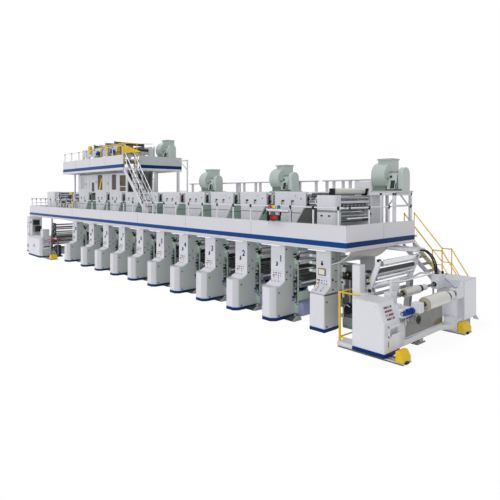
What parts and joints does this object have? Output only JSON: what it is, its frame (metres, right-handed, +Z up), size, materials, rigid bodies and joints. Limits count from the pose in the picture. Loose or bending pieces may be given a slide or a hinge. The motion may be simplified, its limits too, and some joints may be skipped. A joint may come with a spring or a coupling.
{
  "type": "rotogravure printing press",
  "caption": "Long rotogravure press line: print units under a platform, dryer hoods and fans on it, a tower over the infeed end and a rewinder at the outfeed end.",
  "frame": {"origin": "middle of the whole machine's footprint, on the floor", "axes": "+X along the machine from the unwinder to the rewinder, +Y from the operator side to the drive side, +Z up"},
  "size_m": [28.59, 5.6, 6.8503],
  "materials": {
    "stand_enamel": "satin light grey enamel, greener in the shade between the stands",
    "hood_enamel": "satin near-white enamel",
    "fascia_enamel": "satin near-white enamel with a royal blue stripe on the fascia",
    "deck_paint": "matt grey floor plate",
    "engraved_chrome": "bright engraved chrome on copper",
    "roller_steel": "brushed rollers between light grey side plates",
    "fan_green": "satin pale grey-green enamel",
    "safety_yellow": "gloss safety yellow",
    "track_paint": "grey floor track with a safety yellow end stop",
    "wound_film": "glossy wound clear film",
    "hose_black": "matt black ribbed hose"
  },
  "bodies": {
    "press": {"unit_01_print_unit": "stand_enamel", "unit_01_dryer_hood": "hood_enamel", "unit_02_print_unit": "stand_enamel", "unit_02_dryer_hood": "hood_enamel", "unit_03_print_unit": "stand_enamel", "unit_03_dryer_hood": "hood_enamel", "unit_04_print_unit": "stand_enamel", "unit_04_dryer_hood": "hood_enamel", "unit_05_print_unit": "stand_enamel", "unit_05_dryer_hood": "hood_enamel", "unit_06_print_unit": "stand_enamel", "unit_06_dryer_hood": "hood_enamel", "unit_07_print_unit": "stand_enamel", "unit_07_dryer_hood": "hood_enamel", "unit_08_print_unit": "stand_enamel", "unit_08_dryer_hood": "hood_enamel", "unit_09_print_unit": "stand_enamel", "unit_09_dryer_hood": "hood_enamel", "unit_10_print_unit": "stand_enamel", "unit_10_dryer_hood": "hood_enamel", "platform_deck": "deck_paint", "front_parapet": "fascia_enamel", "right_parapet": "fascia_enamel", "left_parapet": "fascia_enamel", "outfeed_unit": "stand_enamel", "electric_cabinet": "stand_enamel", "unwinder_stand": "stand_enamel", "rewinder_front_cabinet": "stand_enamel", "rewinder_rear_frame": "stand_enamel", "outfeed_roller_station": "roller_steel", "infeed_roller_station": "roller_steel", "tower_rollers": "roller_steel", "web_guide_frame": "roller_steel", "blower_1": "fan_green", "blower_2": "fan_green", "blower_3": "fan_green", "tower_blower": "fan_green", "rear_frame": "fascia_enamel", "tower_platform": "fascia_enamel", "tower_wall": "fascia_enamel", "tower_stair": "fascia_enamel", "access_stair": "safety_yellow", "side_guard": "safety_yellow", "front_track": "track_paint", "rear_track": "track_paint", "hose_1": "hose_black", "hose_2": "hose_black"},
    "cylinder_01": {"unit_01_printing_cylinder": "engraved_chrome"},
    "cylinder_02": {"unit_02_printing_cylinder": "engraved_chrome"},
    "cylinder_03": {"unit_03_printing_cylinder": "engraved_chrome"},
    "cylinder_04": {"unit_04_printing_cylinder": "engraved_chrome"},
    "cylinder_05": {"unit_05_printing_cylinder": "engraved_chrome"},
    "cylinder_06": {"unit_06_printing_cylinder": "engraved_chrome"},
    "cylinder_07": {"unit_07_printing_cylinder": "engraved_chrome"},
    "cylinder_08": {"unit_08_printing_cylinder": "engraved_chrome"},
    "cylinder_09": {"unit_09_printing_cylinder": "engraved_chrome"},
    "cylinder_10": {"unit_10_printing_cylinder": "engraved_chrome"},
    "rewind_roll_body": {"rewind_roll": "wound_film"},
    "inner_roll_body": {"inner_roll": "wound_film"},
    "unwind_roll_body": {"unwind_roll": "wound_film"}
  },
  "joints": [
    {"name": "cylinder_01_spin", "type": "hinge", "parent": "press", "child": "cylinder_01", "pos_m": [9.425, -0.265, 1.28], "axis": [0, 1, 0], "continuous": true},
    {"name": "cylinder_02_spin", "type": "hinge", "parent": "press", "child": "cylinder_02", "pos_m": [7.645, -0.265, 1.28], "axis": [0, 1, 0], "continuous": true},
    {"name": "cylinder_03_spin", "type": "hinge", "parent": "press", "child": "cylinder_03", "pos_m": [5.865, -0.265, 1.28], "axis": [0, 1, 0], "continuous": true},
    {"name": "cylinder_04_spin", "type": "hinge", "parent": "press", "child": "cylinder_04", "pos_m": [4.085, -0.265, 1.28], "axis": [0, 1, 0], "continuous": true},
    {"name": "cylinder_05_spin", "type": "hinge", "parent": "press", "child": "cylinder_05", "pos_m": [2.305, -0.265, 1.28], "axis": [0, 1, 0], "continuous": true},
    {"name": "cylinder_06_spin", "type": "hinge", "parent": "press", "child": "cylinder_06", "pos_m": [0.525, -0.265, 1.28], "axis": [0, 1, 0], "continuous": true},
    {"name": "cylinder_07_spin", "type": "hinge", "parent": "press", "child": "cylinder_07", "pos_m": [-1.255, -0.265, 1.28], "axis": [0, 1, 0], "continuous": true},
    {"name": "cylinder_08_spin", "type": "hinge", "parent": "press", "child": "cylinder_08", "pos_m": [-3.035, -0.265, 1.28], "axis": [0, 1, 0], "continuous": true},
    {"name": "cylinder_09_spin", "type": "hinge", "parent": "press", "child": "cylinder_09", "pos_m": [-4.815, -0.265, 1.28], "axis": [0, 1, 0], "continuous": true},
    {"name": "cylinder_10_spin", "type": "hinge", "parent": "press", "child": "cylinder_10", "pos_m": [-7.155, -0.265, 1.28], "axis": [0, 1, 0], "continuous": true},
    {"name": "rewind_roll_spin", "type": "hinge", "parent": "press", "child": "rewind_roll_body", "pos_m": [14.005, -0.2, 1.12], "axis": [0, 1, 0], "continuous": true},
    {"name": "inner_roll_spin", "type": "hinge", "parent": "press", "child": "inner_roll_body", "pos_m": [13.465, -0.445, 1.33], "axis": [0, 1, 0], "continuous": true},
    {"name": "unwind_roll_spin", "type": "hinge", "parent": "press", "child": "unwind_roll_body", "pos_m": [-10.795, -0.79, 1.05], "axis": [0, 1, 0], "continuous": true}
  ]
}
